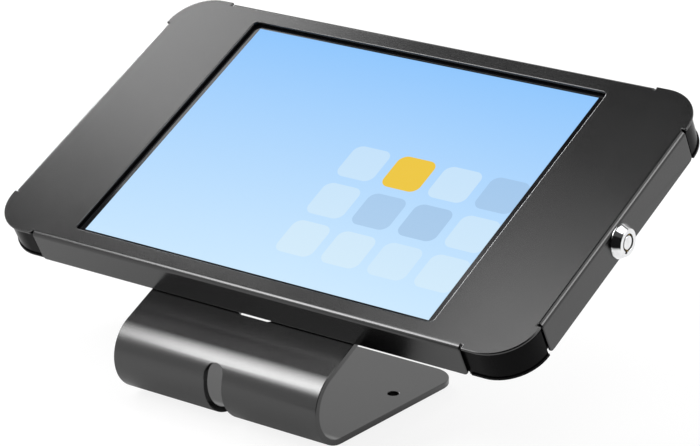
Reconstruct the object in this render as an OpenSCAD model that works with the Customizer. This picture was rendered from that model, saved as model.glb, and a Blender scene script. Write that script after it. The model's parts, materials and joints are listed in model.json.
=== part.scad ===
// Tablet security kiosk stand. A folded steel base carries a shallow steel tray. A tablet lies
// on foam in the tray, and a steel frame cover hooks on at the left and locks at the right.
// Frame: +X right, +Y back, +Z up. The origin is midway between the two desk-screw holes, on
// the underside of the base. Millimetres and degrees.

/* [Tablet] */
// Width of the lit part of the display
display_w = 207.4; // [190:0.1:230]
// Depth of the lit part of the display
display_d = 155.5; // [140:0.1:175]
// Distance from the lit display to the tablet's short edges
bezel_side = 21.6; // [17:0.1:31]
// Distance from the lit display to the tablet's long edges
bezel_end = 9.3; // [8.6:0.1:16]
// Thickness of the tablet
tablet_t = 7.5; // [6:0.1:9]
// Corner radius of the tablet
tablet_r = 11; // [6:0.5:14]
// Unlit border of the display module
display_border = 2; // [1:0.1:3]
// Thickness of the display module
display_t = 2; // [1.5:0.1:2.5]
// Thickness of the front glass
glass_t = 1; // [0.7:0.1:1.5]
// Rim of the tablet shell round the glass
shell_rim = 1; // [0.6:0.1:1.5]
// Bevel along the back edge of the tablet shell
shell_bevel = 2.5; // [1:0.1:3]
// Drop of the shell's rim below the glass's face
rim_drop = 0.25; // [0.1:0.05:0.5]
// Width of the charging port
port_w = 9; // [7:0.1:11]
// Height of the charging port
port_h = 2.8; // [2:0.1:3]
// Depth of the charging port
port_depth = 7; // [4:0.5:9]

/* [Cover] */
// Sheet thickness of the cover
cover_t = 1.5; // [1.2:0.1:2]
// Outer bend radius of the cover's flanges
cover_bend = 2.5; // [2.2:0.1:3.5]
// Corner radius of the cover's face
corner_r = 22; // [16:0.5:23]
// Room beside the tablet, from its short edge to the cover's outside
side_room = 33.3; // [31:0.1:40]
// Border of the window beside the lit display
window_side = 4.1; // [2:0.1:6]
// Border of the window in front of and behind the lit display
window_end = 2.55; // [1:0.05:3]
// Corner radius of the window
window_r = 3; // [1:0.5:5]
// Distance from the cover's side to the end of a front or back flange
long_flange_end = 30; // [27:0.5:36]
// Distance from the cover's front or back to the end of a side flange
short_flange_end = 24.5; // [24:0.5:30]
// Width of the relief cut at each flange end
relief_w = 1; // [0.6:0.1:1.5]
// Corner radius at the free edge of the flanges
flange_r = 2; // [1:0.1:3]
// Height of the flanges' lower edge above the tray's underside
flange_lift = 0.4; // [0.3:0.1:1]
// Thickness of the window gasket
gasket_t = 0.7; // [0.5:0.1:1]
// Width of the window gasket
gasket_w = 5; // [3:0.1:5.5]
// Distance from the window's edge to the gasket
gasket_inset = 0.8; // [0.4:0.1:1]
// Gap between the gasket and the glass
gasket_gap = 0.1; // [0.05:0.05:0.3]

/* [Tray] */
// Sheet thickness of the tray
tray_t = 1.2; // [1:0.1:1.5]
// Outer bend radius of the tray's walls
tray_bend = 2; // [1.8:0.1:2.5]
// Corner radius at the free edge of the tray's straight walls
wall_r = 1.5; // [1:0.1:3]
// Gap between the tablet's long edges and the tray
tablet_fit = 0.35; // [0.2:0.05:1]
// Gap between the tray and the cover's front and back flanges
cover_fit = 0.3; // [0.3:0.05:0.6]
// Gap between the tray's left wall and the cover
hinge_gap = 2.6; // [2.4:0.1:3.2]
// Gap between the tray's right wall and the cover
lock_gap = 1; // [0.8:0.1:1.5]
// Gap between the top of the straight walls and the cover
wall_top_gap = 0.5; // [0.4:0.1:1]
// Gap between the top of the corner walls and the cover
corner_top_gap = 1.1; // [0.8:0.1:1.5]
// Gap between the end of a corner wall and the end of a side flange
corner_slit = 1.2; // [0.8:0.1:2]
// Setback of the tray's corners from the cover's left and right sides
corner_set = 0.2; // [0.1:0.1:0.5]
// Ledge at the foot of the corner walls
corner_ledge = 0.6; // [0.3:0.1:0.8]
// Length of the cable opening in the tray's floor
tray_opening_l = 22; // [16:0.5:30]
// Distance from the cover's front to the cable opening
tray_opening_front = 8; // [6:0.5:14]

/* [Hinge hooks] */
// Distance of each hook from the middle of the left wall
hook_y = 45; // [35:1:52]
// Width of a hook
hook_w = 16; // [10:0.5:20]
// Radius of the rolled bead that the cover turns on
hook_r = 1.5; // [1.4:0.05:1.7]
// Thickness of the hook's neck
hook_neck = 1.2; // [1:0.1:1.3]
// Height of the hinge axis above the tray's underside
hook_z = 3.8; // [3.5:0.1:4]
// Gap round the bead in the cover's slot
hook_gap = 0.15; // [0.1:0.05:0.25]
// Gap at each end of the bead in the cover's slot
hook_end_gap = 0.4; // [0.3:0.1:0.8]

/* [Foam] */
// Thickness of the pads under the tablet
pad_t = 7.4; // [6:0.1:10]
// Width of a pad under the tablet
pad_w = 50; // [30:1:60]
// Depth of a pad under the tablet
pad_d = 30; // [20:1:40]
// Distance of the pads from the middle, left to right
pad_x = 85; // [75:1:90]
// Distance of the pads from the middle, front to back
pad_y = 50; // [40:1:60]
// Width of a side block
block_w = 18; // [12:0.5:22]
// Length of a side block
block_d = 40; // [25:1:44]
// Height of a side block
block_h = 12; // [8:0.5:13]
// Distance of the side blocks from the middle, front to back
block_y = 50; // [46:1:58]

/* [Lock] */
// Diameter of the lock's head at the cover
head_d = 17; // [15:0.1:17.5]
// Diameter of the lock's flat face
face_d = 13; // [11:0.1:14]
// Length of the head
head_l = 4.5; // [3.5:0.1:6]
// Straight rim at the foot of the head
head_rim = 0.8; // [0.4:0.1:1.2]
// Diameter of the key ring's opening
key_d = 8.5; // [8:0.1:8.8]
// Diameter of the post inside the key ring
post_d = 6.6; // [6:0.1:6.8]
// Distance of the post's end behind the lock's face
post_set = 0.2; // [0.1:0.1:0.6]
// Width of the key notch in the ring
key_notch_w = 1.6; // [1.2:0.1:2]
// Depth of the key notch beyond the ring
key_notch_d = 1; // [0.6:0.1:1.4]
// Where the key notch is, as a turn about the lock's axis
key_notch_turn = 135; // [0:15:345]
// Diameter of the lock's barrel
barrel_d = 11.6; // [11.2:0.1:12]
// Length of the lock's barrel
barrel_l = 17; // [15:0.5:18]
// Width over the flats of the barrel
barrel_flat = 10.4; // [10.2:0.1:11]
// Diameter of the turning core
core_d = 9.3; // [9.2:0.05:9.4]
// Running gap round the core
core_gap = 0.05; // [0.02:0.01:0.08]
// Number of tumbler pins
pin_n = 7; // [5:1:8]
// Diameter of a tumbler pin
pin_d = 0.9; // [0.7:0.1:0.9]
// Length of a tumbler pin
pin_l = 7; // [5:0.5:9]
// Length of a tumbler pin that shows in the key ring
pin_show = 1.2; // [0.6:0.1:2]
// Width of the lock nut over its flats
nut_af = 13.6; // [13.2:0.1:14]
// Thickness of the lock nut
nut_t = 3; // [2:0.1:3.5]
// Diameter of the lock washer
lock_washer_d = 14; // [13:0.1:14.2]
// Thickness of the lock washer
lock_washer_t = 0.8; // [0.6:0.1:1]
// Gap between the lock nut and the tray's floor
nut_floor_gap = 0.7; // [0.5:0.1:1]
// Thickness of the cam
cam_t = 1.5; // [1.2:0.1:2]
// Width of the cam's arm
cam_w = 6; // [5:0.1:6.5]
// Radius of the cam's hub
cam_hub_r = 3.6; // [3.3:0.1:3.8]
// Gap between the cam and the tray's floor
cam_floor_gap = 0.5; // [0.4:0.1:0.8]
// Distance from the barrel's end to the cam
cam_set = 2; // [1.6:0.1:3]
// Side of the square end that drives the cam
square_w = 4.5; // [4:0.1:4.6]
// Diameter of the cam screw
cam_screw_d = 2.5; // [2:0.1:2.6]
// Head diameter of the cam screw
cam_head_d = 6.6; // [6.5:0.1:7]
// Head height of the cam screw
cam_head_h = 2; // [1.5:0.1:2.5]
// Length of the cam screw's shank
cam_screw_l = 7; // [6:0.5:10]
// Room left in the core at the cam screw's tip
cam_tip_gap = 1; // [0.5:0.1:1.5]
// Key socket of the cam screw, over its flats
cam_socket = 2; // [1.5:0.1:2.5]
// Sheet thickness of the keeper that the cam turns under
keeper_t = 1.5; // [1.2:0.1:2]
// Width of the keeper
keeper_w = 6; // [5:0.1:7]
// Length of the keeper's foot
keeper_foot = 10; // [8:0.5:14]
// Gap between the turning cam and the keeper
keeper_gap = 0.6; // [0.5:0.1:0.8]

/* [Base] */
// Slope of the enclosure
tilt = 26.819; // [20:0.001:32]
// Width of the base
base_w = 122.4; // [118:0.1:140]
// Sheet thickness of the base
base_t = 3; // [2.5:0.1:3.5]
// Outer radius of the front roll
roll_r = 19.5; // [16:0.1:24]
// Distance from the roll's axis to the cover's front, along the slope
nose = 20.4; // [16:0.1:26]
// Distance from the roll's axis to the rear edge of the bottom plate
foot_l = 95; // [88:0.5:110]
// Corner radius at the rear of the base
base_corner_r = 14; // [8:0.5:18]
// Sideways distance from the enclosure's middle to the base's middle
base_shift = 3; // [0:0.1:6]
// Distance between the two desk-screw holes
desk_hole_span = 98; // [90:0.5:100]
// Diameter of a desk-screw hole
desk_hole_d = 5.5; // [4.5:0.1:6.5]
// Distance from the rear edge to the desk-screw holes
desk_hole_rear = 38.6; // [34:0.1:46]
// Width of the cable notch in the roll
notch_w = 10.4; // [8:0.1:14]
// Where the notch ends, as an angle up the roll from straight down
notch_top = 125; // [100:1:135]
// Width of the cable slot in the top plate
slot_w = 21; // [14:0.5:28]
// Length of the cable slot in the top plate
slot_l = 40; // [36:0.5:44]
// Corner radius of the cable openings
slot_r = 3; // [1:0.5:6]
// How far the cable slot reaches out in front of the cover
slot_front = 0.3; // [0:0.1:2]
// Sideways distance from the base's middle to the cable slot
slot_shift = 2.5; // [0:0.1:4]
// Diameter of a rubber foot
pad_foot_d = 12; // [8:0.5:16]
// Thickness of a rubber foot
pad_foot_t = 2; // [1:0.1:3]
// Distance of the rubber feet from the base's edges
pad_foot_in = 16; // [12:0.5:20]

/* [Mounting screws] */
// Spacing of the four screws that hold the tray to the base
screw_span = 75; // [70:1:85]
// Diameter of a screw
screw_d = 4; // [3.5:0.1:4.5]
// Head diameter of a screw
screw_head_d = 8; // [7:0.1:8.8]
// Head height of a screw
screw_head_h = 2.4; // [2:0.1:3]
// Key socket of a screw, over its flats
screw_socket = 2.5; // [2:0.1:3]
// Gap round a screw in the base
screw_gap = 0.3; // [0.2:0.05:0.5]
// Outer diameter of a screw washer
washer_d = 9; // [8.8:0.1:11]
// Thickness of a screw washer
washer_t = 0.8; // [0.6:0.1:1.2]
// Outer diameter of a press nut
press_nut_d = 8; // [7.2:0.1:9]
// Height of a press nut above the tray's floor
press_nut_h = 3; // [2:0.1:4]
// Diameter of the press nut's shank in the floor
press_shank_d = 5.4; // [5:0.1:6]
// Distance of the top plate's rear edge behind the rear screws
top_rear = 12.5; // [10:0.5:20]

/* [Hidden] */
$fn = 96;

// Cut-through length added to both ends of a cut
over = 1;
// Gap round pieces that are pressed or screwed together
seat_gap = 0.05;

// Thickness of the slices that a hull joins
slice_t = 0.05;

// Enclosure sizes, worked out from the tablet, the foam and the two sheets
tablet_w = display_w + 2 * bezel_side;
tablet_d = display_d + 2 * bezel_end;
tablet_z = tray_t + pad_t;
glass_top = tablet_z + tablet_t;
cover_under = glass_top + gasket_gap + gasket_t;
enclosure_h = cover_under + cover_t;
enclosure_w = tablet_w + 2 * side_room;
enclosure_d = tablet_d + 2 * (tablet_fit + tray_t + cover_fit + cover_t);
flange_h = enclosure_h - flange_lift;
window_w = display_w + 2 * window_side;
window_d = display_d + 2 * window_end;
long_flange_l = enclosure_w - 2 * long_flange_end;
short_flange_l = enclosure_d - 2 * short_flange_end;

// Outer faces of the tray's walls
tray_left = -enclosure_w / 2 + cover_t + hinge_gap;
tray_right = enclosure_w / 2 - cover_t - lock_gap;
tray_half_d = enclosure_d / 2 - cover_t - cover_fit;
wall_h = cover_under - wall_top_gap;
corner_wall_h = cover_under - corner_top_gap;

// Hinge axis, in the middle of the cover's left flange
hinge_x = -enclosure_w / 2 + cover_t / 2;

// Lock axis and the stations along it, outward positive
lock_z = tray_t + nut_af / 2 + nut_floor_gap;
lock_x = enclosure_w / 2;
core_front = head_rim - core_gap;
core_bore_d = core_d + 2 * core_gap;
cam_x = -barrel_l - cam_set - cam_t;
cam_reach = lock_z - tray_t - cam_floor_gap;
pin_ring_r = (key_d + post_d) / 4;

// Keeper positions beside the lock axis
keeper_right = lock_x - barrel_l - cam_set + keeper_gap;
lip_y = cam_hub_r + keeper_gap;
post_y = cam_reach + keeper_gap;
lip_z = lock_z + cam_w / 2 + keeper_gap;

// Base
roll_y = desk_hole_rear - foot_l;
screw_y = nose + enclosure_d / 2;
top_l = screw_y + screw_span / 2 + top_rear;
// Where both plates start behind the roll's axis
plate_start = base_t;
notch_h = roll_r * (1 - cos(notch_top));

// Puts its children in the enclosure's frame: the middle of the tray's underside, sloped
module on_enclosure() {
  translate([-base_shift, roll_y, roll_r]) rotate([tilt, 0, 0])
    translate([0, nose + enclosure_d / 2, roll_r]) children();
}

// Puts its children on the base's top plate: its upper face, from the roll back
module on_top_plate() {
  translate([0, roll_y, roll_r]) rotate([tilt, 0, 0]) translate([0, 0, roll_r]) children();
}

// Puts its children at each of the four mounting screws, on the tray's underside
module at_screws() {
  on_top_plate() for (sx = [-1, 1], sy = [-1, 1])
    translate([sx * screw_span / 2, screw_y + sy * screw_span / 2, 0]) children();
}

// Puts its children on the lock's axis, with +Z outward from the cover's right flange
module on_lock() {
  on_enclosure() translate([lock_x, 0, lock_z]) rotate([0, 90, 0]) children();
}

// Outline with four round corners, centred
module round_rect(w, d, r) {
  square([w - 2 * r, d], center = true);
  square([w, d - 2 * r], center = true);
  for (sx = [-1, 1], sy = [-1, 1]) translate([sx * (w / 2 - r), sy * (d / 2 - r)]) circle(r);
}

// Outline of a plate from y = 0 back, with its two far corners round
module tongue(w, l, r) {
  translate([-w / 2, 0]) square([w, l - r]);
  translate([-w / 2 + r, 0]) square([w - 2 * r, l]);
  for (s = [-1, 1]) translate([s * (w / 2 - r), l - r]) circle(r);
}

// A sheet bent up along X: a quarter bend that starts at y = 0, then a wall h high, whose two
// free corners are round
module bent_wall(length, h, t, r, free_r) {
  intersection() {
    rotate([90, 0, 90]) linear_extrude(length, center = true) {
      intersection() {
        translate([0, r]) difference() { circle(r); circle(r - t); }
        square([r, r]);
      }
      translate([r - t, r]) square([t, h - r]);
    }
    translate([0, r + over, 0]) rotate([90, 0, 0])
      linear_extrude(r + 2 * over) tongue(length, h, free_r);
  }
}

// Four bent walls round a rectangle, given where their outer faces stand
module four_walls(left, right, half_d, long_l, short_l, h, t, r, free_r) {
  for (a = [0, 180]) rotate(a) translate([0, half_d - r, 0]) bent_wall(long_l, h, t, r, free_r);
  translate([right - r, 0, 0]) rotate(-90) bent_wall(short_l, h, t, r, free_r);
  translate([left + r, 0, 0]) rotate(90) bent_wall(short_l, h, t, r, free_r);
}

// The part of an outline that lies in the enclosure's four corners, within a reach from the sides
module in_corners(reach_x) {
  intersection() {
    children();
    for (sx = [-1, 1], sy = [-1, 1])
      translate([sx * enclosure_w / 2, sy * enclosure_d / 2])
        square(2 * [reach_x, short_flange_end - corner_slit], center = true);
  }
}

// Outline of the tray's corners, drawn in by a distance: its wall stands inside the flanges
module corner_outline(inset) {
  side = corner_set + inset;
  end = cover_t + cover_fit - corner_ledge + inset;
  round_rect(enclosure_w - 2 * side, enclosure_d - 2 * end, corner_r - side);
}

// Bar with two flats, along Z, as the lock's barrel is
module flatted_bar(d, flat, h) {
  intersection() {
    cylinder(d = d, h = h);
    translate([-flat / 2, -d, 0]) cube([flat, 2 * d, h]);
  }
}

// Hexagon bar or socket along Z, with a flat facing X
module hexagon(af, h) {
  rotate(30) cylinder(d = af / cos(30), h = h, $fn = 6);
}

// Folded base

// Section of the front roll: a ring, open at the back, with the start of both plates
module roll_section() {
  far = 2 * roll_r;
  difference() {
    circle(roll_r);
    circle(roll_r - base_t);
    for (a = [0, tilt]) rotate(a) translate([0, -far]) square(2 * far);
  }
  translate([0, -roll_r]) square([plate_start, base_t]);
  rotate(tilt) translate([0, roll_r - base_t]) square([plate_start, base_t]);
}

// Cable notch through the front of the roll: from its foot up, with a round end
module cable_notch() {
  translate([0, roll_y, 0]) rotate([90, 0, 0]) linear_extrude(roll_r + over) {
    translate([-notch_w / 2, -over]) square([notch_w, notch_h - notch_w / 2 + over]);
    translate([0, notch_h - notch_w / 2]) circle(d = notch_w);
  }
}

module base_bracket() {
  color("#26272a") difference() {
    union() {
      translate([0, roll_y + plate_start, 0])
        linear_extrude(base_t) tongue(base_w, foot_l - plate_start, base_corner_r);
      translate([0, roll_y, roll_r]) rotate([90, 0, 90])
        linear_extrude(base_w, center = true) roll_section();
      on_top_plate() translate([0, plate_start, -base_t])
        linear_extrude(base_t) tongue(base_w, top_l - plate_start, base_corner_r);
    }
    for (s = [-1, 1]) translate([s * desk_hole_span / 2, 0, -over])
      cylinder(d = desk_hole_d, h = base_t + 2 * over);
    at_screws() translate([0, 0, -base_t - over])
      cylinder(d = screw_d + 2 * screw_gap, h = base_t + 2 * over);
    cable_notch();
    on_top_plate()
      translate([slot_shift, nose - slot_front + slot_l / 2, -base_t - over])
        linear_extrude(base_t + 2 * over) round_rect(slot_w, slot_l, slot_r);
  }
}

module base_feet() {
  color("#101010") for (sx = [-1, 1], y = [roll_y + pad_foot_in, desk_hole_rear - pad_foot_in])
    translate([sx * (base_w / 2 - pad_foot_in), y, -pad_foot_t])
      cylinder(d = pad_foot_d, h = pad_foot_t);
}

// Screws from the base up into the tray

module mounting_screws() {
  shank_l = base_t + washer_t + tray_t + press_nut_h;
  color("silver") at_screws() translate([0, 0, -base_t - washer_t]) {
    cylinder(d = screw_d, h = shank_l);
    mirror([0, 0, 1]) difference() {
      cylinder(d = screw_head_d, h = screw_head_h);
      translate([0, 0, screw_head_h / 2]) hexagon(screw_socket, screw_head_h);
    }
  }
}

module screw_washers() {
  color("silver") at_screws() translate([0, 0, -base_t - washer_t]) difference() {
    cylinder(d = washer_d, h = washer_t);
    translate([0, 0, -over]) cylinder(d = screw_d + 2 * screw_gap, h = washer_t + 2 * over);
  }
}

module press_nuts() {
  color("silver") at_screws() difference() {
    union() {
      cylinder(d = press_shank_d, h = tray_t);
      translate([0, 0, tray_t]) cylinder(d = press_nut_d, h = press_nut_h);
    }
    translate([0, 0, -over])
      cylinder(d = screw_d + 2 * seat_gap, h = tray_t + press_nut_h + 2 * over);
  }
}

// Tray

// Floor of the tray: a rectangle between the wall bends, with a lobe in each corner
module tray_floor() {
  left = tray_left + tray_bend;
  right = tray_right - tray_bend;
  linear_extrude(tray_t) {
    intersection() {
      translate([left, -tray_half_d + tray_bend])
        square([right - left, 2 * (tray_half_d - tray_bend)]);
      corner_outline(0);
    }
    in_corners(long_flange_end - corner_slit) corner_outline(0);
  }
}

// Curved walls that close the cover's open corners
module tray_corners() {
  linear_extrude(corner_wall_h) in_corners(long_flange_end) difference() {
    corner_outline(corner_ledge);
    corner_outline(corner_ledge + tray_t);
  }
}

// Hooks on the left wall: a flat neck that ends in a rolled bead on the hinge axis
module hinge_hooks() {
  for (s = [-1, 1]) translate([hinge_x, s * hook_y, hook_z]) {
    rotate([90, 0, 0]) cylinder(r = hook_r, h = hook_w, center = true);
    translate([0, -hook_w / 2, -hook_neck / 2])
      cube([tray_left + tray_t / 2 - hinge_x, hook_w, hook_neck]);
  }
}

module rear_tray() {
  lock_opening = nut_af / cos(30) + 2 * keeper_gap;
  color("#1d1e20") difference() {
    on_enclosure() difference() {
      union() {
        tray_floor();
        four_walls(tray_left, tray_right, tray_half_d, long_flange_l, short_flange_l,
          wall_h, tray_t, tray_bend, wall_r);
        tray_corners();
        hinge_hooks();
      }
      translate([tray_right - tray_bend, -lock_opening / 2, tray_t])
        cube([tray_bend + over, lock_opening, wall_h]);
      translate([base_shift + slot_shift, 0, -over])
        translate([0, tray_opening_front + tray_opening_l / 2 - enclosure_d / 2, 0])
          linear_extrude(tray_t + 2 * over) round_rect(slot_w, tray_opening_l, slot_r);
    }
    at_screws() translate([0, 0, -over])
      cylinder(d = press_shank_d + 2 * seat_gap, h = tray_t + 2 * over);
  }
}

// Keeper: a foot on the tray's floor, a post, and a lip that the locked cam turns under
module lock_keeper() {
  color("silver") on_enclosure()
    translate([keeper_right, 0, 0]) rotate([90, 0, -90]) linear_extrude(keeper_w) mirror([1, 0]) {
      translate([post_y, tray_t]) square([keeper_t, lip_z + keeper_t - tray_t]);
      translate([lip_y, lip_z]) square([post_y + keeper_t - lip_y, keeper_t]);
      translate([post_y, tray_t]) square([keeper_t + keeper_foot, keeper_t]);
    }
}

// Foam and tablet

module back_pads() {
  color("#33343a") on_enclosure() for (sx = [-1, 1], sy = [-1, 1])
    translate([sx * pad_x - pad_w / 2, sy * pad_y - pad_d / 2, tray_t]) cube([pad_w, pad_d, pad_t]);
}

module side_blocks() {
  color("#33343a") on_enclosure() for (sx = [-1, 1], sy = [-1, 1])
    translate([sx * (tablet_w + block_w) / 2 - block_w / 2, sy * block_y - block_d / 2, tray_t])
      cube([block_w, block_d, block_h]);
}

// Tablet outline, drawn in by a distance
module tablet_outline(inset) {
  round_rect(tablet_w - 2 * inset, tablet_d - 2 * inset, tablet_r - inset);
}

module tablet_shell() {
  glass_z = glass_top - glass_t;
  color("#a9adb3") on_enclosure() difference() {
    union() {
      hull() {
        translate([0, 0, tablet_z]) linear_extrude(slice_t, $fn = 32) tablet_outline(shell_bevel);
        translate([0, 0, tablet_z + shell_bevel])
          linear_extrude(slice_t, $fn = 32) tablet_outline(0);
      }
      translate([0, 0, tablet_z + shell_bevel])
        linear_extrude(tablet_t - shell_bevel - rim_drop) tablet_outline(0);
    }
    translate([0, 0, glass_z]) linear_extrude(glass_t + over) tablet_outline(shell_rim);
    translate([0, 0, glass_z - display_t]) linear_extrude(display_t + over)
      square([display_w, display_d] + 2 * (display_border + seat_gap) * [1, 1], center = true);
    translate([-tablet_w / 2 - over, -port_w / 2, tablet_z + shell_bevel])
      cube([port_depth + over, port_w, port_h]);
  }
}

module tablet_display() {
  color("#9fcdf6") on_enclosure() translate([0, 0, glass_top - glass_t - display_t])
    linear_extrude(display_t)
      square([display_w, display_d] + 2 * display_border * [1, 1], center = true);
}

module tablet_glass() {
  color("#0c0c0e", 0.4) on_enclosure() translate([0, 0, glass_top - glass_t])
    linear_extrude(glass_t) tablet_outline(shell_rim + seat_gap);
}

// Cover

// Face of the cover: round ears at the corners, cut back to the bends between them
module cover_face() {
  linear_extrude(cover_t) difference() {
    round_rect(enclosure_w, enclosure_d, corner_r);
    for (s = [-1, 1]) {
      translate([0, s * enclosure_d / 2])
        square([long_flange_l + 2 * relief_w, 2 * cover_bend], center = true);
      translate([s * enclosure_w / 2, 0])
        square([2 * cover_bend, short_flange_l + 2 * relief_w], center = true);
    }
    round_rect(window_w, window_d, window_r);
  }
}

module front_cover() {
  color("#232427") on_enclosure() difference() {
    translate([0, 0, enclosure_h]) mirror([0, 0, 1]) {
      cover_face();
      four_walls(-enclosure_w / 2, enclosure_w / 2, enclosure_d / 2, long_flange_l,
        short_flange_l, flange_h, cover_t, cover_bend, flange_r);
    }
    for (s = [-1, 1]) translate([hinge_x, s * hook_y, hook_z])
      cube([2 * cover_t, hook_w + 2 * hook_end_gap, 2 * (hook_r + hook_gap)], center = true);
    translate([lock_x - cover_t - over, 0, lock_z]) rotate([0, 90, 0])
      flatted_bar(barrel_d + 2 * seat_gap, barrel_flat + 2 * seat_gap, cover_t + 2 * over);
  }
}

module window_gasket() {
  color("#161616") on_enclosure() translate([0, 0, cover_under - gasket_t])
    linear_extrude(gasket_t) difference() {
      round_rect(window_w + 2 * (gasket_inset + gasket_w), window_d + 2 * (gasket_inset + gasket_w),
        window_r + gasket_w);
      round_rect(window_w + 2 * gasket_inset, window_d + 2 * gasket_inset, window_r);
    }
}

// Lock

module lock_housing() {
  color("#d8dadd") on_lock() difference() {
    union() {
      cylinder(d = head_d, h = head_rim);
      translate([0, 0, head_rim]) cylinder(d1 = head_d, d2 = face_d, h = head_l - head_rim);
      translate([0, 0, -barrel_l]) flatted_bar(barrel_d, barrel_flat, barrel_l);
    }
    translate([0, 0, head_rim]) cylinder(d = key_d, h = head_l);
    translate([0, 0, -barrel_l - over]) cylinder(d = core_bore_d, h = barrel_l + over + head_rim);
    rotate(key_notch_turn) translate([-key_d / 2 - key_notch_d, -key_notch_w / 2, head_rim])
      cube([key_d / 2 + key_notch_d, key_notch_w, head_l]);
  }
}

module lock_washer() {
  color("silver") on_lock() translate([0, 0, -cover_t - lock_washer_t]) difference() {
    cylinder(d = lock_washer_d, h = lock_washer_t);
    translate([0, 0, -over]) cylinder(d = barrel_d + 2 * seat_gap, h = lock_washer_t + 2 * over);
  }
}

module lock_nut() {
  color("silver") on_lock() translate([0, 0, -cover_t - lock_washer_t - nut_t]) difference() {
    hexagon(nut_af, nut_t);
    translate([0, 0, -over]) cylinder(d = barrel_d + 2 * seat_gap, h = nut_t + 2 * over);
  }
}

// Turning core: a post in the key ring, the core with its pin holes, and a square end
module lock_plug() {
  color("#e4e6e8") on_lock() difference() {
    union() {
      translate([0, 0, core_front]) cylinder(d = post_d, h = head_l - post_set - core_front);
      translate([0, 0, -barrel_l]) cylinder(d = core_d, h = barrel_l + core_front);
      translate([0, 0, -barrel_l - cam_set]) cylinder(r = cam_hub_r, h = cam_set);
      translate([-square_w / 2, -square_w / 2, cam_x]) cube([square_w, square_w, cam_t]);
    }
    at_pins() translate([0, 0, pin_show - pin_l])
      cylinder(d = pin_d + 2 * seat_gap, h = pin_l);
    translate([0, 0, cam_x - over])
      cylinder(d = cam_screw_d + 2 * seat_gap, h = cam_screw_l + cam_tip_gap + over);
  }
}

// Puts its children at each tumbler pin, on the core's front face
module at_pins() {
  for (i = [0 : pin_n - 1]) rotate(360 * (i + 0.5) / pin_n)
    translate([pin_ring_r, 0, core_front]) children();
}

module tumbler_pins() {
  color("#c9a34a") on_lock() at_pins() translate([0, 0, pin_show - pin_l])
    cylinder(d = pin_d, h = pin_l);
}

// Cam: a hub on the square end and an arm that points at the floor when unlocked
module lock_cam() {
  arm = cam_reach - cam_w / 2;
  color("silver") on_lock() translate([0, 0, cam_x]) difference() {
    linear_extrude(cam_t) {
      circle(cam_hub_r);
      translate([0, -cam_w / 2]) square([arm, cam_w]);
      translate([arm, 0]) circle(cam_w / 2);
    }
    translate([0, 0, cam_t / 2])
      cube([square_w + 2 * seat_gap, square_w + 2 * seat_gap, cam_t + 2 * over], center = true);
  }
}

module cam_screw() {
  color("silver") on_lock() translate([0, 0, cam_x]) {
    cylinder(d = cam_screw_d, h = cam_screw_l);
    mirror([0, 0, 1]) difference() {
      cylinder(d = cam_head_d, h = cam_head_h);
      translate([0, 0, cam_head_h / 2]) hexagon(cam_socket, cam_head_h);
    }
  }
}

base_bracket();
base_feet();
mounting_screws();
screw_washers();
press_nuts();
rear_tray();
lock_keeper();
back_pads();
side_blocks();
tablet_shell();
tablet_display();
tablet_glass();
front_cover();
window_gasket();
lock_housing();
lock_washer();
lock_nut();
lock_plug();
tumbler_pins();
lock_cam();
cam_screw();
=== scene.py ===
"""Looks of the tablet security kiosk stand: finishes, broken edges, foam, thread, light and camera.

Everything is in metres, in the part's own frame: +X right, +Y back, +Z up, with the origin midway
between the two desk-screw holes, on the underside of the base.
"""
import json
import math

import bmesh
import bpy
from mathutils import Matrix, Vector


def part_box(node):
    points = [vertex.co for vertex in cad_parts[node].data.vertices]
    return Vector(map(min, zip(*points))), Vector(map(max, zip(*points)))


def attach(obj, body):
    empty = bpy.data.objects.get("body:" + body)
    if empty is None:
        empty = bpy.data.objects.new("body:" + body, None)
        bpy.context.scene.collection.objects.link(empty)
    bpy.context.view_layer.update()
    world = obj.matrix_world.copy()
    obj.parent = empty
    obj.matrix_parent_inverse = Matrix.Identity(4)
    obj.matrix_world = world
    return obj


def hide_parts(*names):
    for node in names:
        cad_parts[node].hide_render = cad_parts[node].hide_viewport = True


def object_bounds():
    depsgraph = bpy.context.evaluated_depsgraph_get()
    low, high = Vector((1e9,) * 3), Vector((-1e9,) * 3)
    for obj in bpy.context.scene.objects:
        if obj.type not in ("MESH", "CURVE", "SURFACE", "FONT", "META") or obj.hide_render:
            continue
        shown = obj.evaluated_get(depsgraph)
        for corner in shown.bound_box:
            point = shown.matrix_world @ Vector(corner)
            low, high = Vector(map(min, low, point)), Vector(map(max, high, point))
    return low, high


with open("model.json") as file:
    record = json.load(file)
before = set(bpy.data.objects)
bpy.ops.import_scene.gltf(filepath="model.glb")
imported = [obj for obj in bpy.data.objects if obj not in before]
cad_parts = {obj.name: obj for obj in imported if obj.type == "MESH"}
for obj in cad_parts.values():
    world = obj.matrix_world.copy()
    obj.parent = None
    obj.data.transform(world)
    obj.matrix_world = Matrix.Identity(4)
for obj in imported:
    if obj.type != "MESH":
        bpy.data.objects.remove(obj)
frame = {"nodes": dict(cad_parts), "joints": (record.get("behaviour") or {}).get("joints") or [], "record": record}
cad_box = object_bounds()
nodes = frame["nodes"]
joints = {joint["name"]: joint for joint in frame["joints"]}

MM = 0.001
UP = Vector((0, 0, 1))

# The slope's own frame: across the enclosure, back along its face, and out of its face
hinge_axis = Vector(joints["cover_hinge"]["axis"])
SLOPE = math.atan2(-hinge_axis.z, -hinge_axis.y)
SLOPE_TURN = Matrix.Rotation(SLOPE, 3, "X")


def slope_points(node):
    """The node's points, turned so that the enclosure lies flat."""
    back = SLOPE_TURN.transposed()
    return [back @ vertex.co for vertex in nodes[node].data.vertices]


def add_object(name, data):
    """A new object in the scene, from its mesh, lamp or camera."""
    made = bpy.data.objects.new(name, data)
    bpy.context.scene.collection.objects.link(made)
    return made


# Shader building

# A Mix node's sockets for colours
MIX_FIRST = 6
MIX_SECOND = 7
MIX_RESULT = 2

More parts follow.
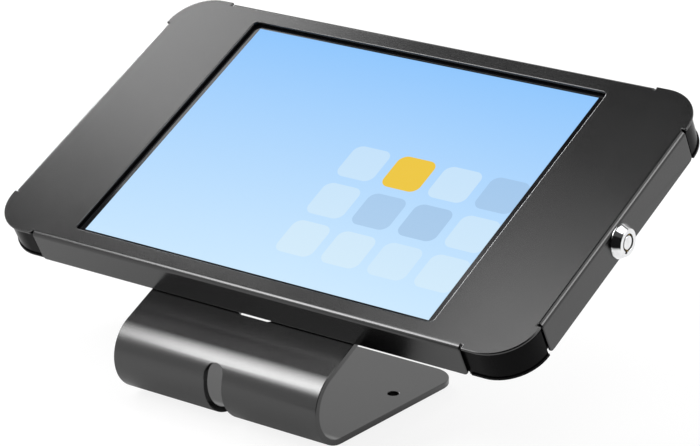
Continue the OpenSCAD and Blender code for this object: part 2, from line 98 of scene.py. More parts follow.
# Most of a noise texture's values lie in this span
NOISE_LOW = 0.3
NOISE_HIGH = 0.7


def join(tree, value, target):
    """Links a socket to an input, or sets the input's own value."""
    if isinstance(value, bpy.types.NodeSocket):
        tree.links.new(value, target)
    else:
        target.default_value = value


def put(tree, kind, settings=None, **inputs):
    """Adds a node with its settings. An input is a value, or a socket of another node."""
    made = tree.nodes.new(kind)
    for name, value in (settings or {}).items():
        setattr(made, name, value)
    for name, value in inputs.items():
        join(tree, value, made.inputs[name])
    return made


def operate(tree, kind, operation, values):
    """A Math or Vector Math node, with values for its inputs in order."""
    made = put(tree, kind, {"operation": operation})
    for value, target in zip(values, made.inputs):
        join(tree, value, target)
    return made


def calc(tree, operation, *values):
    """A Math node's result."""
    return operate(tree, "ShaderNodeMath", operation, values).outputs["Value"]


def vector_calc(tree, operation, *values):
    """A Vector Math node's vector."""
    return operate(tree, "ShaderNodeVectorMath", operation, values).outputs["Vector"]


def vector_measure(tree, operation, *values):
    """A Vector Math node's number, such as a length or a dot product."""
    return operate(tree, "ShaderNodeVectorMath", operation, values).outputs["Value"]


def span(tree, value, low, high, to_low=0.0, to_high=1.0, smooth=False):
    """Maps a value from one span to another, and stays inside it."""
    made = put(tree, "ShaderNodeMapRange", {"interpolation_type": "SMOOTHSTEP" if smooth else "LINEAR"})
    numbers = {"Value": value, "From Min": low, "From Max": high, "To Min": to_low, "To Max": to_high}
    for name, number in numbers.items():
        join(tree, number, made.inputs[name])
    return made.outputs["Result"]


def blend_colour(tree, share, first, second):
    """Mixes two colours by a share."""
    made = put(tree, "ShaderNodeMix", {"data_type": "RGBA"}, Factor=share)
    join(tree, first, made.inputs[MIX_FIRST])
    join(tree, second, made.inputs[MIX_SECOND])
    return made.outputs[MIX_RESULT]


def shaded(tree, colour, shade):
    """A colour made lighter or darker by a factor."""
    made = operate(tree, "ShaderNodeVectorMath", "SCALE", (colour,))
    join(tree, shade, made.inputs["Scale"])
    return made.outputs["Vector"]


def surface_place(tree):
    """A point's place on the object."""
    return put(tree, "ShaderNodeTexCoord").outputs["Object"]


def noise(tree, place, scale, detail):
    """Soft noise over a surface."""
    return put(tree, "ShaderNodeTexNoise", Vector=place, Scale=scale, Detail=detail).outputs["Fac"]


def vary(tree, value, low, high):
    """Noise mapped to values between a low and a high one."""
    return span(tree, value, NOISE_LOW, NOISE_HIGH, low, high)


def new_group(name, inputs, outputs):
    """An empty shader group with named sockets. Returns the tree, its input node and its output node."""
    tree = bpy.data.node_groups.new(name, "ShaderNodeTree")
    kinds = {"colour": "NodeSocketColor", "value": "NodeSocketFloat", "vector": "NodeSocketVector"}
    for label, kind in inputs.items():
        tree.interface.new_socket(label, in_out="INPUT", socket_type=kinds[kind])
    for label, kind in outputs.items():
        tree.interface.new_socket(label, in_out="OUTPUT", socket_type=kinds[kind])
    return tree, tree.nodes.new("NodeGroupInput"), tree.nodes.new("NodeGroupOutput")


# Finish groups. A scale is in waves to the metre, and a shade is the least and the greatest factor

FINISH_OUTPUTS = {"Colour": "colour", "Roughness": "value", "Height": "value"}

PEEL_SCALE = 420.0
PEEL_HEIGHT = 0.8  # beside a grain of 1
CLOUD_SCALE = 24.0
COAT_SHADE = (0.92, 1.08)
GRAIN_ROUGH = 0.03  # how far the grain makes the roughness drift
CLOUD_ROUGH = 0.015  # how far the clouds do


def powder_group():
    """Baked powder coat: a fine grain over a shallow orange peel, a little uneven in gloss."""
    inputs = {"Colour": "colour", "Roughness": "value", "Grain": "value"}
    tree, given, made = new_group("powder coat", inputs, FINISH_OUTPUTS)
    place = surface_place(tree)
    grain = noise(tree, place, given.outputs["Grain"], detail=2.0)
    peel = noise(tree, place, PEEL_SCALE, detail=1.0)
    cloud = noise(tree, place, CLOUD_SCALE, detail=3.0)
    colour = shaded(tree, given.outputs["Colour"], vary(tree, cloud, *COAT_SHADE))
    uneven = vary(tree, grain, -GRAIN_ROUGH, GRAIN_ROUGH)
    drift = vary(tree, cloud, -CLOUD_ROUGH, CLOUD_ROUGH)
    rough = calc(tree, "ADD", calc(tree, "ADD", given.outputs["Roughness"], uneven), drift)
    tree.links.new(colour, made.inputs["Colour"])
    tree.links.new(rough, made.inputs["Roughness"])
    tree.links.new(calc(tree, "MULTIPLY_ADD", peel, PEEL_HEIGHT, grain), made.inputs["Height"])
    return tree


SMEAR_SCALE = 260.0
METAL_SHADE = (0.94, 1.04)
LINES_AND_SMEAR = (0.7, 1.3)  # most of the sum of two noises lies in this span


def metal_group():
    """Worked metal: fine drawn lines along one axis, and faint cloudy smears in the polish."""
    inputs = {"Colour": "colour", "Roughness": "value", "Spread": "value", "Lines": "value",
              "Stretch": "vector"}
    tree, given, made = new_group("worked metal", inputs, FINISH_OUTPUTS)
    place = surface_place(tree)
    drawn = vector_calc(tree, "MULTIPLY", place, given.outputs["Stretch"])
    lines = noise(tree, drawn, given.outputs["Lines"], detail=3.0)
    smear = noise(tree, place, SMEAR_SCALE, detail=3.0)
    colour = shaded(tree, given.outputs["Colour"], vary(tree, smear, *METAL_SHADE))
    uneven = span(tree, calc(tree, "ADD", lines, smear), *LINES_AND_SMEAR, -1.0, 1.0)
    rough = calc(tree, "MULTIPLY_ADD", uneven, given.outputs["Spread"], given.outputs["Roughness"])
    tree.links.new(colour, made.inputs["Colour"])
    tree.links.new(rough, made.inputs["Roughness"])
    tree.links.new(lines, made.inputs["Height"])
    return tree


PIT_RISE = (0.1, 0.6)  # from a cell's middle to its wall, in cells
# Painted shade: a cell's middle is painted darker than its wall, as if shaded in its pit
PAINTED_PIT_SHADE = 0.7  # the shade in a cell's middle
PAINTED_WALL_LIFT = 0.5  # how much lighter its wall is
PIT_ROUGH = 0.08
SKIN_CLOUD_SCALE = 90.0
SKIN_SHADE = (0.85, 1.15)


def cell_group():
    """Rubber or foam skin: small closed cells with thin walls, each cell's middle painted darker as shade in its
    pit.
    """
    inputs = {"Colour": "colour", "Cells": "value", "Roughness": "value"}
    tree, given, made = new_group("cell skin", inputs, FINISH_OUTPUTS)
    place = surface_place(tree)
    cells = put(tree, "ShaderNodeTexVoronoi", {"feature": "F1"}, Vector=place, Scale=given.outputs["Cells"])
    cloud = noise(tree, place, SKIN_CLOUD_SCALE, detail=4.0)
    pit = span(tree, cells.outputs["Distance"], *PIT_RISE)
    # Painted shade: the pit's colour is darker than the wall's
    shade = calc(tree, "MULTIPLY_ADD", pit, PAINTED_WALL_LIFT, PAINTED_PIT_SHADE)
    shade = calc(tree, "MULTIPLY", shade, vary(tree, cloud, *SKIN_SHADE))
    tree.links.new(shaded(tree, given.outputs["Colour"], shade), made.inputs["Colour"])
    rough = calc(tree, "MULTIPLY_ADD", pit, PIT_ROUGH, given.outputs["Roughness"])
    tree.links.new(rough, made.inputs["Roughness"])
    tree.links.new(pit, made.inputs["Height"])
    return tree


POWDER = powder_group()
METAL = metal_group()
CELLS = cell_group()


def new_material(name):
    """A material with one Principled shader. Returns the material, its tree and the shader."""
    made = bpy.data.materials.new(name)
    made.use_nodes = True
    tree = made.node_tree
    tree.nodes.clear()
    shader = tree.nodes.new("ShaderNodeBsdfPrincipled")
    out = tree.nodes.new("ShaderNodeOutputMaterial")
    tree.links.new(shader.outputs["BSDF"], out.inputs["Surface"])
    return made, tree, shader


def use_group(tree, shader, group, depth, inputs):
    """Places a finish group in a material: colour, roughness and a bump of a real depth."""
    placed = tree.nodes.new("ShaderNodeGroup")
    placed.node_tree = group
    for name, value in inputs.items():
        join(tree, value, placed.inputs[name])
    tree.links.new(placed.outputs["Colour"], shader.inputs["Base Color"])
    tree.links.new(placed.outputs["Roughness"], shader.inputs["Roughness"])
    bump = put(tree, "ShaderNodeBump", Strength=1.0, Distance=depth, Height=placed.outputs["Height"])
    tree.links.new(bump.outputs["Normal"], shader.inputs["Normal"])


COAT_GRAIN = 2600.0
COAT_DEPTH = 0.004 * MM


def powder_coat(name, colour, roughness, mirror):
    """Powder-coated steel, where mirror is how much light its skin throws back."""
    made, tree, shader = new_material(name)
    inputs = {"Colour": colour, "Roughness": roughness, "Grain": COAT_GRAIN}
    use_group(tree, shader, POWDER, COAT_DEPTH, inputs)
    shader.inputs["Specular IOR Level"].default_value = mirror
    return made


def worked_metal(name, colour, roughness, spread, lines, stretch, depth):
    """Bare or plated metal, with lines drawn along the axis that is least in stretch."""
    made, tree, shader = new_material(name)
    inputs = {"Colour": colour, "Roughness": roughness, "Spread": spread, "Lines": lines,
              "Stretch": stretch}
    use_group(tree, shader, METAL, depth, inputs)
    shader.inputs["Metallic"].default_value = 1.0
    return made


def cell_skin(name, colour, cells, roughness, depth):
    """Rubber or foam, with so many cells to the metre."""
    made, tree, shader = new_material(name)
    use_group(tree, shader, CELLS, depth, {"Colour": colour, "Cells": cells, "Roughness": roughness})
    return made


# Lit display and front glass

SCREEN_BLACK = (0.004, 0.004, 0.005, 1)
UNLIT = (0.0, 0.0, 0.0, 1)
DISPLAY_BORDER = 2 * MM  # of the display's plate, round what the glass leaves clear
DISPLAY_ROUGH = 0.08
LIT_UNDER_MASK = 1.2 * MM  # how far the lit area goes on under the glass's black mask
SOFT_EDGE = 0.1 * MM

SKY_DEEP = (0.29, 0.575, 0.985, 1)
SKY_PALE = (0.62, 0.825, 1.0, 1)
SKY_LEFT_FROM = 0.45  # share of the width, from the right, where it starts to be less pale
SKY_LEFT_PALE = 0.88  # how pale it still is at the left

HALF_STEP = 0.5  # half of a tile's step
TILE_PITCH = 27 * MM
TILE_SIDE = 22 * MM
TILE_CORNER = 5 * MM
TILE_EDGE = 0.2 * MM
TILE_COLUMNS = 4
TILE_ROWS = 3
TILE_PLACE = (52 * MM, -22 * MM)  # the grid's middle, from the display's
TILE_CLEAR = (0.74, 0.88, 0.93, 1)
TILE_BLUE = (0.33, 0.5, 0.72, 1)
TILE_BLUE_FROM = 0.62  # a tile whose chance is higher is blue
TILE_STRENGTH = (0.35, 0.6)  # how strongly tiles cover the sky
TILE_YELLOW = (0.855, 0.578, 0.061, 1)
YELLOW_COLUMN = 1
YELLOW_ROW = 2

GLASS_SMEAR_SCALE = 35.0
GLASS_SMEAR = (0.35, 0.7)
GLASS_ROUGH = (0.06, 0.14)


def display_frame(tree):
    """A point's place on the display, across and back from its middle, and the lit area's half sizes."""
    points = slope_points("tablet_display")
    half_w = (max(p.x for p in points) - min(p.x for p in points)) / 2 - DISPLAY_BORDER
    half_d = (max(p.y for p in points) - min(p.y for p in points)) / 2 - DISPLAY_BORDER
    low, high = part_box("tablet_display")
    flat = put(tree, "ShaderNodeMapping", {"vector_type": "TEXTURE"}, Vector=surface_place(tree),
               Location=(low + high) / 2, Rotation=(SLOPE, 0.0, 0.0))
    split = put(tree, "ShaderNodeSeparateXYZ", Vector=flat.outputs["Vector"])
    return split.outputs["X"], split.outputs["Y"], half_w, half_d


def inside(tree, across, along, half_w, half_d):
    """1 inside a rectangle and 0 outside it, with a thin soft edge."""
    in_w = span(tree, calc(tree, "ABSOLUTE", across), half_w, half_w + SOFT_EDGE, 1.0, 0.0)
    in_d = span(tree, calc(tree, "ABSOLUTE", along), half_d, half_d + SOFT_EDGE, 1.0, 0.0)
    return calc(tree, "MULTIPLY", in_w, in_d)


def sky(tree, across, along, half_w, half_d):
    """The screen's ground: blue above and paler below, a little less pale at the left."""
    below = calc(tree, "SUBTRACT", 1.0, span(tree, along, -half_d, half_d))
    left = span(tree, across, half_w, -half_w)
    pale = calc(tree, "MULTIPLY", below, span(tree, left, SKY_LEFT_FROM, 1.0, 1.0, SKY_LEFT_PALE))
    return blend_colour(tree, pale, SKY_DEEP, SKY_PALE)


def tile_axis(tree, value, centre, count):
    """Along one axis of the tile grid: a point's tile, how far off its middle, and 1 in the grid."""
    start = centre - count * TILE_PITCH / 2
    steps = calc(tree, "DIVIDE", calc(tree, "SUBTRACT", value, start), TILE_PITCH)
    index = calc(tree, "FLOOR", steps)
    part = calc(tree, "SUBTRACT", calc(tree, "SUBTRACT", steps, index), HALF_STEP)
    off_centre = calc(tree, "MULTIPLY", calc(tree, "ABSOLUTE", part), TILE_PITCH)
    in_grid = calc(tree, "MULTIPLY", calc(tree, "GREATER_THAN", index, -HALF_STEP),
                   calc(tree, "LESS_THAN", index, count - HALF_STEP))
    return index, off_centre, in_grid


def past(tree, value, limit):
    """How far a value goes past a limit, and 0 before it."""
    return calc(tree, "MAXIMUM", calc(tree, "SUBTRACT", value, limit), 0.0)


def tiles(tree, across, along):
    """A grid of round-cornered tiles: how strongly they cover a point, and their colour there."""
    column, off_x, in_columns = tile_axis(tree, across, TILE_PLACE[0], TILE_COLUMNS)
    row, off_y, in_rows = tile_axis(tree, along, TILE_PLACE[1], TILE_ROWS)
    straight = TILE_SIDE / 2 - TILE_CORNER
    corner = put(tree, "ShaderNodeCombineXYZ", X=past(tree, off_x, straight), Y=past(tree, off_y, straight))
    reach = vector_measure(tree, "LENGTH", corner.outputs["Vector"])
    tile = span(tree, reach, TILE_CORNER - TILE_EDGE, TILE_CORNER, 1.0, 0.0)
    tile = calc(tree, "MULTIPLY", tile, calc(tree, "MULTIPLY", in_columns, in_rows))
    number = put(tree, "ShaderNodeCombineXYZ", X=column, Y=row).outputs["Vector"]
    dice = put(tree, "ShaderNodeTexWhiteNoise", {"noise_dimensions": "3D"}, Vector=number)
    chance = dice.outputs["Value"]
    tone = blend_colour(tree, calc(tree, "GREATER_THAN", chance, TILE_BLUE_FROM), TILE_CLEAR, TILE_BLUE)
    yellow = calc(tree, "MULTIPLY", calc(tree, "COMPARE", column, YELLOW_COLUMN, HALF_STEP),
                  calc(tree, "COMPARE", row, YELLOW_ROW, HALF_STEP))
    strength = calc(tree, "MAXIMUM", span(tree, chance, 0.0, 1.0, *TILE_STRENGTH), yellow)
    return calc(tree, "MULTIPLY", tile, strength), blend_colour(tree, yellow, tone, TILE_YELLOW)


def lit_display(name):
    """Lit screen: a pale blue sky with a grid of clear tiles, one of them yellow."""
    made, tree, shader = new_material(name)
    across, along, half_w, half_d = display_frame(tree)
    cover, tone = tiles(tree, across, along)
    picture = blend_colour(tree, cover, sky(tree, across, along, half_w, half_d), tone)
    lit = inside(tree, across, along, half_w + LIT_UNDER_MASK, half_d + LIT_UNDER_MASK)
    tree.links.new(blend_colour(tree, lit, UNLIT, picture), shader.inputs["Emission Color"])
    shader.inputs["Emission Strength"].default_value = 1.0
    shader.inputs["Base Color"].default_value = SCREEN_BLACK
    shader.inputs["Specular IOR Level"].default_value = 0.0
    shader.inputs["Roughness"].default_value = DISPLAY_ROUGH
    return made


def screen_glass(name):
    """Front glass: clear over the lit display, and black where its underside is masked."""
    made, tree, shader = new_material(name)
    across, along, half_w, half_d = display_frame(tree)
    under = put(tree, "ShaderNodeNewGeometry").outputs["Backfacing"]
    clear = calc(tree, "MAXIMUM", inside(tree, across, along, half_w, half_d), under)
    tree.links.new(calc(tree, "SUBTRACT", 1.0, clear), shader.inputs["Alpha"])
    smear = noise(tree, surface_place(tree), GLASS_SMEAR_SCALE, detail=4.0)
    tree.links.new(span(tree, smear, *GLASS_SMEAR, *GLASS_ROUGH), shader.inputs["Roughness"])
    shader.inputs["Base Color"].default_value = SCREEN_BLACK
    return made


# Every slot's finish

FINISHES = {
    "base_coat": powder_coat("base powder coat", (0.0035, 0.0035, 0.0037, 1), roughness=0.20, mirror=1.0),
    "tray_coat": powder_coat("tray powder coat", (0.003, 0.003, 0.0032, 1), roughness=0.22, mirror=0.05),
    "cover_coat": powder_coat(
        "cover powder coat", (0.0035, 0.0035, 0.0037, 1), roughness=0.21, mirror=0.85),
    "foot_rubber": cell_skin(
        "foot rubber", (0.020, 0.020, 0.020, 1), cells=2400.0, roughness=0.62, depth=0.02 * MM),
    "gasket_rubber": cell_skin(
        "gasket rubber", (0.012, 0.012, 0.012, 1), cells=2000.0, roughness=0.7, depth=0.02 * MM),
    "foam": cell_skin(
        "closed-cell foam", (0.045, 0.046, 0.052, 1), cells=1300.0, roughness=0.85, depth=0.12 * MM),
    "zinc_steel": worked_metal(
        "zinc plate", (0.62, 0.63, 0.64, 1),
        roughness=0.28, spread=0.06, lines=900.0, stretch=(1, 1, 1), depth=0.002 * MM),
    "lock_chrome": worked_metal(
        "lock chrome", (0.93, 0.935, 0.94, 1),
        roughness=0.09, spread=0.03, lines=1800.0, stretch=(0.1, 1, 1), depth=0.0004 * MM),
    "pin_brass": worked_metal(
        "pin brass", (0.72, 0.50, 0.20, 1),
        roughness=0.25, spread=0.05, lines=1500.0, stretch=(0.2, 1, 1), depth=0.001 * MM),
    "tablet_case": worked_metal(
        "anodised case", (0.42, 0.44, 0.47, 1),
        roughness=0.34, spread=0.04, lines=3000.0, stretch=(1, 1, 1), depth=0.002 * MM),
    "display": lit_display("lit display"),
    "screen_glass": screen_glass("screen glass"),
}

for part in frame["record"]["subparts"]:
    for holder in nodes[part["node"]].material_slots:
        holder.material = FINISHES[part["material_slot"]]


# Edges: every sheet and turned piece has a small broken edge, of so many millimetres

EDGE_BREAKS = {
    "base_bracket": 0.35, "rear_tray": 0.35, "front_cover": 0.55, "base_feet": 0.5,
    "mounting_screws": 0.25, "screw_washers": 0.12, "press_nuts": 0.2, "lock_keeper": 0.25,
    "tablet_shell": 0.15, "tablet_glass": 0.15, "window_gasket": 0.1,
    "lock_housing": 0.2, "lock_washer": 0.12, "lock_nut": 0.25, "lock_plug": 0.15,
    "tumbler_pins": 0.1, "lock_cam": 0.2, "cam_screw": 0.2,
}
CROWDED_EDGES = ("rear_tray",)  # where some edges lie too close together for a full break
WELD_REACH = 0.001 * MM
FLAT_WITHIN = math.radians(0.3)  # faces that turn less than this are one face
SHARP_FROM = math.radians(60)  # edges that turn more than this are broken
BREAK_STEPS = 3


def break_edges(node, width):
    """Rounds a node's sharp edges with modifiers, which leave its own mesh as it is."""
    piece = nodes[node]
    weld = piece.modifiers.new("weld", "WELD")
    weld.merge_threshold = WELD_REACH
    flat = piece.modifiers.new("whole faces", "DECIMATE")
    flat.decimate_type = "DISSOLVE"
    flat.angle_limit = FLAT_WITHIN
    bevel = piece.modifiers.new("broken edge", "BEVEL")
    bevel.width = width * MM
    bevel.segments = BREAK_STEPS
    bevel.limit_method = "ANGLE"
    bevel.angle_limit = SHARP_FROM
    bevel.use_clamp_overlap = node in CROWDED_EDGES
    normals = piece.modifiers.new("face normals", "WEIGHTED_NORMAL")
    normals.mode = "FACE_AREA"


for node, width in EDGE_BREAKS.items():
    break_edges(node, width)

# The display lies a hair under the glass, so that light passes between their faces
HAIR_OF_AIR = 0.08 * MM
hair = nodes["tablet_display"].modifiers.new("hair of air", "DISPLACE")
hair.mid_level = 0.0
hair.strength = -HAIR_OF_AIR


def built_piece(name, mesh, finish):
    """A piece from a built mesh, with its faces turned outward and its finish."""
    bmesh.ops.recalc_face_normals(mesh, faces=mesh.faces)
    data = bpy.data.meshes.new(name)
    mesh.to_mesh(data)
    mesh.free()
    data.materials.append(finish)
    return add_object(name, data)


# Foam pieces

FOAM_CROWN = 0.9 * MM  # how much higher the top's middle is than its edges
FOAM_PULL = 0.6 * MM  # how far the sides are drawn in between corners
FOAM_EDGE = 1.6 * MM  # from a side to the first cut of the cage
FOAM_SPANS = 4  # between the first and the last cut
FOAM_ROUNDING = 2  # steps of subdivision


def stations(low, high):
    """Where a foam piece's cage is cut along one axis: close to both ends, and evenly between."""
    first = low + FOAM_EDGE
    length = high - FOAM_EDGE - first
    return [low, *(first + length * i / FOAM_SPANS for i in range(FOAM_SPANS + 1)), high]


def foam_cage(mesh, low, high):
    """Adds one crowned foam piece: flat below, domed on top, its sides drawn in between corners."""
    axes = [stations(a, b) for a, b in zip(low, high)]
    counts = [len(axis) for axis in axes]
    centre = [(a + b) / 2 for a, b in zip(low, high)]
    half = [(b - a) / 2 for a, b in zip(low, high)]
    found = {}

    def corner(i, j, k):
        if (i, j, k) not in found:
            x, y, z = axes[0][i], axes[1][j], axes[2][k]
            a, b, c = ((v - m) / h for v, m, h in zip((x, y, z), centre, half))
            z += FOAM_CROWN * ((1 - a * a) * (1 - b * b) - 1) * max(c, 0.0)
            x -= FOAM_PULL * a * (1 - b * b)
            y -= FOAM_PULL * b * (1 - a * a)
            found[i, j, k] = mesh.verts.new(SLOPE_TURN @ Vector((x, y, z)))
        return found[i, j, k]

    for axis in range(3):
        one, two = [a for a in range(3) if a != axis]
        for end in (0, counts[axis] - 1):
            for i in range(counts[one] - 1):
                for j in range(counts[two] - 1):
                    ring = []
                    for di, dj in ((0, 0), (1, 0), (1, 1), (0, 1)):
                        key = [0, 0, 0]
                        key[axis], key[one], key[two] = end, i + di, j + dj
                        ring.append(corner(*key))
                    mesh.faces.new(ring)


def foam_pieces(name, node):
    """Foam that stands for a node's four plain blocks, one in each quarter of the tray."""
    points = slope_points(node)
    centre_x = sum(p.x for p in points) / len(points)
    centre_y = sum(p.y for p in points) / len(points)
    mesh = bmesh.new()
    for side in (-1, 1):
        for end in (-1, 1):
            block = [p for p in points if (p.x - centre_x) * side > 0 and (p.y - centre_y) * end > 0]
            low = [min(p[i] for p in block) for i in range(3)]
            high = [max(p[i] for p in block) for i in range(3)]
            foam_cage(mesh, low, high)
    piece = built_piece(name, mesh, FINISHES["foam"])
    piece.data.shade_smooth()
    rounding = piece.modifiers.new("rounding", "SUBSURF")
    rounding.levels = FOAM_ROUNDING
    rounding.render_levels = FOAM_ROUNDING
    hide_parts(node)
    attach(piece, "stand")


foam_pieces("back_foam", "back_pads")
foam_pieces("side_foam", "side_blocks")


# Thread on the lock's barrel, behind its nut

THREAD_PITCH = 1.0 * MM
THREAD_RISE = 0.3 * MM
THREAD_SINK = 0.1 * MM  # how deep its foot lies in the barrel
THREAD_FREE = 0.4 * MM  # plain barrel at its end and at the nut
THREAD_STEPS = 48  # to one turn
# The ridge across one pitch: how far along, in pitches, and how far out of the barrel
THREAD_PROFILE = ((-0.5, -THREAD_SINK), (-0.08, THREAD_RISE), (0.08, THREAD_RISE), (0.5, -THREAD_SINK))


def barrel_thread(name):
    """A helical ridge on the barrel's two round sides, which leaves its flats plain."""
    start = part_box("lock_housing")[0].x + THREAD_FREE + THREAD_PITCH / 2
    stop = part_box("lock_nut")[0].x - THREAD_FREE - THREAD_PITCH / 2
    axis = SLOPE_TURN.transposed() @ Vector(joints["lock_turn"]["pos_m"])
    barrel = [p - axis for p in slope_points("lock_housing") if p.x < stop]
    radius = max(math.hypot(p.y, p.z) for p in barrel)
    flat = max(abs(p.z) for p in barrel)
    crest = radius + THREAD_RISE
    mesh = bmesh.new()
    last = []
    for step in range(int((stop - start) / THREAD_PITCH * THREAD_STEPS) + 1):
        turn = 2 * math.pi * step / THREAD_STEPS
        ring = []
        if crest * abs(math.cos(turn)) < flat:
            for along, out in THREAD_PROFILE:
                place = start + THREAD_PITCH * (step / THREAD_STEPS + along)
                spoke = radius + out
                point = axis + Vector((0, spoke * math.sin(turn), spoke * math.cos(turn)))
                ring.append(mesh.verts.new(SLOPE_TURN @ Vector((place, point.y, point.z))))
        if ring and last:
            for i in range(len(ring)):
                j = (i + 1) % len(ring)
                mesh.faces.new((last[i], last[j], ring[j], ring[i]))
        elif ring or last:
            mesh.faces.new(ring or last)
        last = ring
    if last:
        mesh.faces.new(last)
    thread = built_piece(name, mesh, FINISHES["lock_chrome"])
    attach(thread, "cover")


barrel_thread("barrel_thread")


# Floor and background, where a level of 1 is white

FLOOR_HALF = 6.0
FLOOR_ROUGH = 0.9
FLOOR_PALE = 0.88  # its colour, for the light that it sends back
FLOOR_SEEN = 0.18  # its colour as the camera sees it, over a glow that no shadow takes away
FLOOR_GLOW_SEEN = 0.87
FLOOR_MIRRORED = 0.9  # its level in mirrors and glass
# Painted shade: the floor's glow in mirrors is darkened near the object, where its shadow falls
PAINTED_SHADE_REACH = 0.08  # how near the object that level is shaded

WALL_LEVEL = 0.75
CEILING_LEVEL = 0.07
CEILING_START = math.sin(math.radians(34))
CEILING_FULL = math.sin(math.radians(46))
WORLD_AMBIENT = 0.25

# The room's dark side, in front at the right, as mirrors and glass show it
DARK_SIDE = (0.6, -0.8, 0.0)
DARK_LEVEL = 0.008
DARK_EDGE = 0.35  # how far a direction has to point there to be out of the white
DARK_HEART = 0.6  # and to be full dark
DARK_FROM = 0.14  # how far from the origin the floor starts to be dark
DARK_FULL = 0.26


def dark_share(tree, direction):
    """1 where a direction looks at the room's dark side, and 0 where it looks at a white wall."""
    toward = vector_measure(tree, "DOT_PRODUCT", direction, DARK_SIDE)
    return span(tree, toward, DARK_EDGE, DARK_HEART, smooth=True)


def seen_in_mirror(tree, path):
    """1 on a ray that a mirror or glass sends on, and 0 on others."""
    return calc(tree, "MAXIMUM", path.outputs["Is Glossy Ray"], path.outputs["Is Transmission Ray"])


def floor_finish(name):
    """Pale floor that shows white, and is dark in mirrors on the room's dark side. In mirrors its glow also
    carries painted shade, darker near the object.
    """
    made, tree, shader = new_material(name)
    path = put(tree, "ShaderNodeLightPath")
    direct = path.outputs["Is Camera Ray"]
    mirrored = seen_in_mirror(tree, path)
    pale = span(tree, direct, 0.0, 1.0, FLOOR_PALE, FLOOR_SEEN)
    pale = calc(tree, "MULTIPLY", pale, calc(tree, "SUBTRACT", 1.0, mirrored))
    tree.links.new(pale, shader.inputs["Base Color"])
    place = surface_place(tree)
    toward = vector_measure(tree, "DOT_PRODUCT", place, DARK_SIDE)
    dark = calc(tree, "MULTIPLY", span(tree, toward, DARK_FROM, DARK_FULL, smooth=True),
                dark_share(tree, vector_calc(tree, "NORMALIZE", place)))
    # Painted shade: ambient occlusion darkens the floor's glow in mirrors near the object
    painted_shade_factor = put(tree, "ShaderNodeAmbientOcclusion", Distance=PAINTED_SHADE_REACH).outputs["AO"]
    white = calc(tree, "MULTIPLY", painted_shade_factor, span(tree, dark, 0.0, 1.0, FLOOR_MIRRORED, DARK_LEVEL))
    glow = calc(tree, "MAXIMUM", calc(tree, "MULTIPLY", direct, FLOOR_GLOW_SEEN),
                calc(tree, "MULTIPLY", mirrored, white))
    tree.links.new(glow, shader.inputs["Emission Strength"])
    shader.inputs["Emission Color"].default_value = (1, 1, 1, 1)
    shader.inputs["Roughness"].default_value = FLOOR_ROUGH
    shader.inputs["Specular IOR Level"].default_value = 0.0
    return made


def white_floor():
    """A wide floor under the feet, which keeps a soft shadow of the object."""
    height = cad_box[0][2]
    corners = [(x * FLOOR_HALF, y * FLOOR_HALF, height) for x, y in ((-1, -1), (1, -1), (1, 1), (-1, 1))]
    data = bpy.data.meshes.new("floor")
    data.from_pydata(corners, [], [(0, 1, 2, 3)])
    data.materials.append(floor_finish("white floor"))
    floor = add_object("floor", data)


def white_world():
    """A white backdrop all round, under a darker studio ceiling, with a plain soft ambient light."""
    world = bpy.data.worlds.new("studio")
    bpy.context.scene.world = world
    world.use_nodes = True
    tree = world.node_tree
    tree.nodes.clear()
    direction = put(tree, "ShaderNodeTexCoord").outputs["Generated"]
    height = put(tree, "ShaderNodeSeparateXYZ", Vector=direction).outputs["Z"]
    wall = span(tree, dark_share(tree, direction), 0.0, 1.0, WALL_LEVEL, DARK_LEVEL)
    room = span(tree, height, CEILING_START, CEILING_FULL, wall, CEILING_LEVEL, smooth=True)
    path = put(tree, "ShaderNodeLightPath")
    level = calc(tree, "MULTIPLY", seen_in_mirror(tree, path), calc(tree, "SUBTRACT", room, WORLD_AMBIENT))
    level = calc(tree, "ADD", level, WORLD_AMBIENT)
    level = calc(tree, "MAXIMUM", level, path.outputs["Is Camera Ray"])
    back = put(tree, "ShaderNodeBackground", Color=(1, 1, 1, 1), Strength=level)
    out = tree.nodes.new("ShaderNodeOutputWorld")
    tree.links.new(back.outputs["Background"], out.inputs["Surface"])


# Softboxes, where a brightness of 1 is the white of the background

LAMP_AIM = Vector((0.0, -0.07, 0.03))

# Flat under the ceiling: from and to along X, from and to along Y, and brightness
CEILING_HEIGHT = 1.4
CEILING_SOFTBOXES = {
    "left softbox": ((-1.70, -1.03), (0.34, 0.95), 2.6),
    "inner softbox": ((-1.22, -1.03), (0.25, 0.34), 2.6),
    "middle softbox": ((-0.76, -0.40), (-0.15, 0.285), 2.8),
    "top softbox": ((0.20, 0.80), (-0.30, 1.10), 1.35),
    "right softbox": ((1.00, 2.30), (0.00, 1.20), 4.4),
}

# A long sloped one in front at the left, which lights the base's roll. Its strips lie one behind the
# other and add up, so that it fades towards its ends: low end, high end and brightness of each
KEY_PLACE = Vector((-0.825, -0.89, 1.07))
KEY_ALONG = Vector((-0.16, 0.776, 0.61))
KEY_WIDTH = 0.43
KEY_SPACING = 0.03  # from one strip back to the next
KEY_STRIPS = (
    (-0.10, 0.22, 1.8),
    (-0.20, 0.40, 2.4),
    (-0.31, 0.64, 2.6),
    (-0.43, 0.88, 2.6),
    (-0.55, 1.12, 1.9),
)

# A small one behind at the left, which draws the light line along the window's right rim
RIM_PLACE = Vector((-1.549, 0.817, 0.913))
RIM_SIZE = (0.45, 0.6)
RIM_BRIGHTNESS = 16.0


def softbox(name, place, turn, size, brightness):
    """A soft rectangular lamp of a width and a length."""
    width, length = size
    data = bpy.data.lights.new(name, "AREA")
    data.shape = "RECTANGLE"
    data.size = width
    data.size_y = length
    data.energy = brightness * math.pi * width * length
    lamp = add_object(name, data)
    lamp.matrix_world = Matrix.Translation(place) @ turn.to_4x4()


def facing(back, along):
    """The turn of a lamp with its back one way, and its length as near as can be to another."""
    lengthwise = (along - back * along.dot(back)).normalized()
    return Matrix((lengthwise.cross(back), lengthwise, back)).transposed()


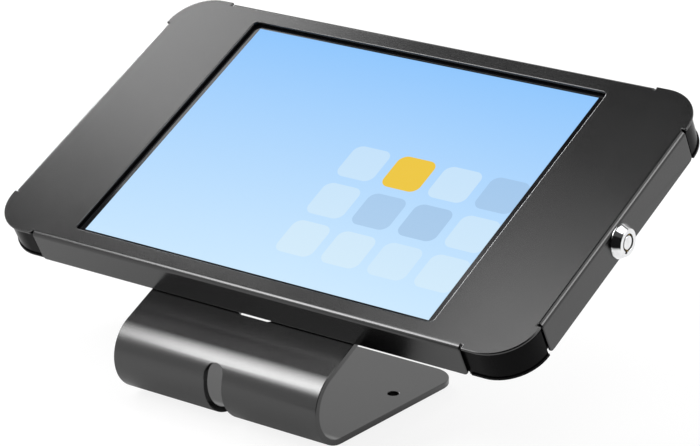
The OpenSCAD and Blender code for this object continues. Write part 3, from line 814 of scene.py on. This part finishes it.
def ceiling_softbox(name, across, along, brightness):
    """A softbox that lies flat under the ceiling."""
    place = Vector((sum(across) / 2, sum(along) / 2, CEILING_HEIGHT))
    size = (across[1] - across[0], along[1] - along[0])
    softbox(name, place, Matrix.Identity(3), size, brightness)


def front_strip(name, low, high, depth, brightness):
    """One strip of the long softbox in front, set some depth behind its face."""
    back = (KEY_PLACE - LAMP_AIM).normalized()
    place = KEY_PLACE + KEY_ALONG * (low + high) / 2 + back * depth
    softbox(name, place, facing(back, KEY_ALONG), (KEY_WIDTH, high - low), brightness)


def rim_softbox(name):
    """The small softbox behind at the left, with its width level."""
    back = (RIM_PLACE - LAMP_AIM).normalized()
    softbox(name, RIM_PLACE, facing(back, UP), RIM_SIZE, RIM_BRIGHTNESS)


# Camera, solved from the photograph's straight edges

CAMERA_PLACE = Vector((0.8270, -1.0527, 0.5522))
CAMERA_AIM = Vector((0.0, 0.0312, 0.0704))
CAMERA_ROLL = math.radians(-0.41)
CAMERA_LENS = 152.28
CAMERA_SENSOR = 36.0


def photo_camera():
    """The camera at the photograph's place, with its slight roll."""
    forward = (CAMERA_AIM - CAMERA_PLACE).normalized()
    level = forward.cross(UP).normalized()
    upright = level.cross(forward)
    right = level * math.cos(CAMERA_ROLL) + upright * math.sin(CAMERA_ROLL)
    data = bpy.data.cameras.new("camera")
    data.sensor_fit = "HORIZONTAL"
    data.sensor_width = CAMERA_SENSOR
    data.lens = CAMERA_LENS
    camera = add_object("camera", data)
    turn = Matrix((right, right.cross(forward), -forward)).transposed()
    camera.matrix_world = Matrix.Translation(CAMERA_PLACE) @ turn.to_4x4()
    bpy.context.scene.camera = camera


white_floor()
white_world()
for name, (across, along, brightness) in CEILING_SOFTBOXES.items():
    ceiling_softbox(name, across, along, brightness)
for step, (low, high, brightness) in enumerate(KEY_STRIPS):
    front_strip("front strip %d" % (step + 1), low, high, step * KEY_SPACING, brightness)
rim_softbox("rim softbox")
photo_camera()
bpy.context.scene.view_settings.view_transform = "Standard"
